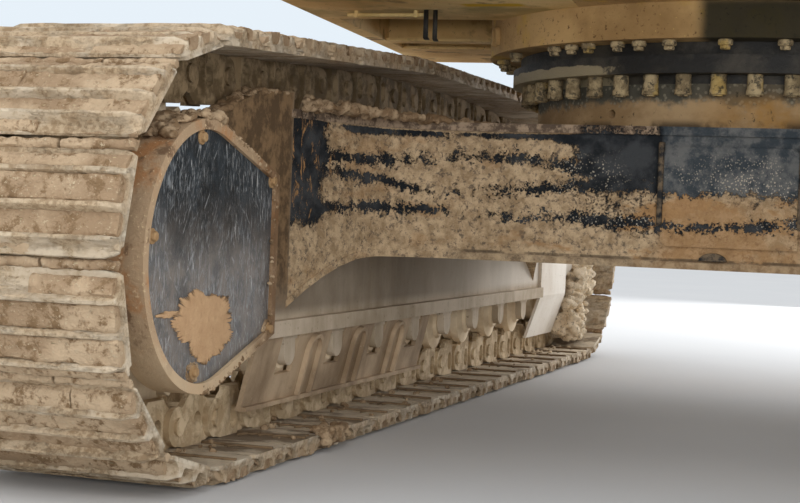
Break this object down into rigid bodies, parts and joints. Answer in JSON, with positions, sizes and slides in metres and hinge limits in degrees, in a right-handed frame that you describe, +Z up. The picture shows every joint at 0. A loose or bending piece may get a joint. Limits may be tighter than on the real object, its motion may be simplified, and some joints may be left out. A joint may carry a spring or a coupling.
{
  "type": "excavator crawler undercarriage",
  "caption": "Crawler undercarriage with two shod tracks, carbody and slewing ring, carrying the turning base frame of an excavator.",
  "frame": {"origin": "on the ground under the slew axis, midway between the tracks and between the drive and idler axles", "axes": "+Z up, +Y towards the idlers, +X to the right when facing the idlers"},
  "size_m": [3.24, 5.4314, 2.308],
  "materials": {
    "shoes": "dry mud over steel",
    "worn_steel": "worn, dusty",
    "frame_dust": "dusty",
    "carbody_paint": "scratched, mud splashed",
    "guard_rim": "mud stained",
    "guard_cover": "scratched",
    "frame_paint": "dusty",
    "greased_steel": "greasy"
  },
  "bodies": {
    "undercarriage": {"carbody": "carbody_paint", "ring_pedestal": "frame_paint", "inner_race_gear": "greased_steel", "swivel_joint": "worn_steel", "side_frame_left": "frame_dust", "side_frame_right": "frame_dust", "track_left": "shoes", "track_right": "shoes", "chain_left": "worn_steel", "chain_right": "worn_steel", "sprocket_left": "worn_steel", "sprocket_right": "worn_steel", "final_drive_left": "frame_dust", "final_drive_right": "frame_dust", "travel_motor_left": "worn_steel", "travel_motor_right": "worn_steel", "motor_guard_left": "guard_rim", "motor_guard_right": "guard_rim", "guard_cover_left": "guard_cover", "guard_cover_right": "guard_cover", "idler_left": "worn_steel", "idler_right": "worn_steel", "idler_yoke_left": "worn_steel", "idler_yoke_right": "worn_steel", "track_rollers_left": "worn_steel", "track_rollers_right": "worn_steel", "roller_collars_left": "frame_dust", "roller_collars_right": "frame_dust", "carrier_rollers_left": "worn_steel", "carrier_rollers_right": "worn_steel", "chain_guard_left": "frame_dust", "chain_guard_right": "frame_dust", "front_guide_left": "frame_dust", "front_guide_right": "frame_dust"},
    "turntable": {"outer_race": "greased_steel", "race_bolts": "worn_steel", "turntable_drum": "frame_paint", "centre_frame": "frame_paint", "deck_left": "frame_paint", "deck_right": "frame_paint", "swing_drive": "worn_steel"},
    "swing_pinion": {"swing_pinion": "greased_steel"}
  },
  "joints": [
    {"name": "slew", "type": "hinge", "parent": "undercarriage", "child": "turntable", "pos_m": [0, 0, 1.1], "axis": [0, 0, 1], "continuous": true},
    {"name": "pinion_spin", "type": "hinge", "parent": "turntable", "child": "swing_pinion", "pos_m": [-0.04706, 0.53795, 1.13], "axis": [0, 0, 1], "continuous": true}
  ],
  "couplings": [
    {"joint": "pinion_spin", "follows": "slew", "ratio": -5.5}
  ]
}
